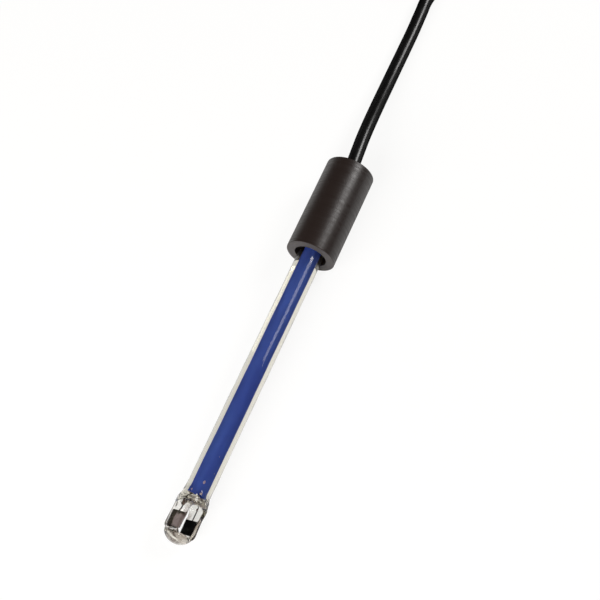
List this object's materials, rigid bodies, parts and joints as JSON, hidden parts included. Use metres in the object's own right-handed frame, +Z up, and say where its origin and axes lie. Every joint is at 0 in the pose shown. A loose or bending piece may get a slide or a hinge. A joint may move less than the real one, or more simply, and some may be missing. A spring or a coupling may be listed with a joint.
{
  "type": "conductivity cell",
  "caption": "Glass dip cell with black plates in a caged head, a resin-filled stem, a turned black cap and a signal cable folded into a tied hank with a round plug.",
  "frame": {"origin": "on the surface that the cell lies on, under the middle of the cell without its cable", "axes": "+Y runs along the lying cell from its glass tip to its cap, +Z is up, +X is to the right when looking along +Y"},
  "size_m": [0.0696, 0.4661, 0.0256],
  "materials": {
    "clear_glass": "clear blown glass with flame-polished edges",
    "platinum_black": "velvety black platinum deposit",
    "platinum": "drawn wire",
    "crimp_metal": "plain crimped metal",
    "core_red": "smooth insulation",
    "core_white": "smooth insulation",
    "blue_resin": "opaque cast resin wetting the glass",
    "turned_plastic": "fine turned marks round the axis",
    "seal_rubber": "dull",
    "cement": "set adhesive",
    "cable_jacket": "smooth glossy jacket",
    "tie_plastic": "satin",
    "boot_rubber": "dull moulded",
    "plug_plastic": "fine moulded texture",
    "plug_metal": "nickel plate",
    "insert_plastic": "moulded insulator",
    "pin_metal": "plated contact pins"
  },
  "bodies": {
    "root": {"glass_body": "clear_glass", "electrode_a": "platinum_black", "electrode_b": "platinum_black", "lead_wire_a": "platinum", "lead_wire_b": "platinum", "splice_a": "crimp_metal", "splice_b": "crimp_metal", "core_wire_a": "core_red", "core_wire_b": "core_white", "resin_fill": "blue_resin", "cap": "turned_plastic", "stem_seal": "seal_rubber", "stem_cement": "cement", "cable_ferrule": "crimp_metal", "cable_run": "cable_jacket", "cable_hank": "cable_jacket", "cable_tail": "cable_jacket", "hank_tie_a": "tie_plastic", "hank_tie_b": "tie_plastic", "plug_boot": "boot_rubber", "plug_grip": "plug_plastic", "plug_shell": "plug_metal", "plug_clamp": "plug_metal", "plug_insert": "insert_plastic", "plug_pins": "pin_metal"}
  },
  "joints": []
}
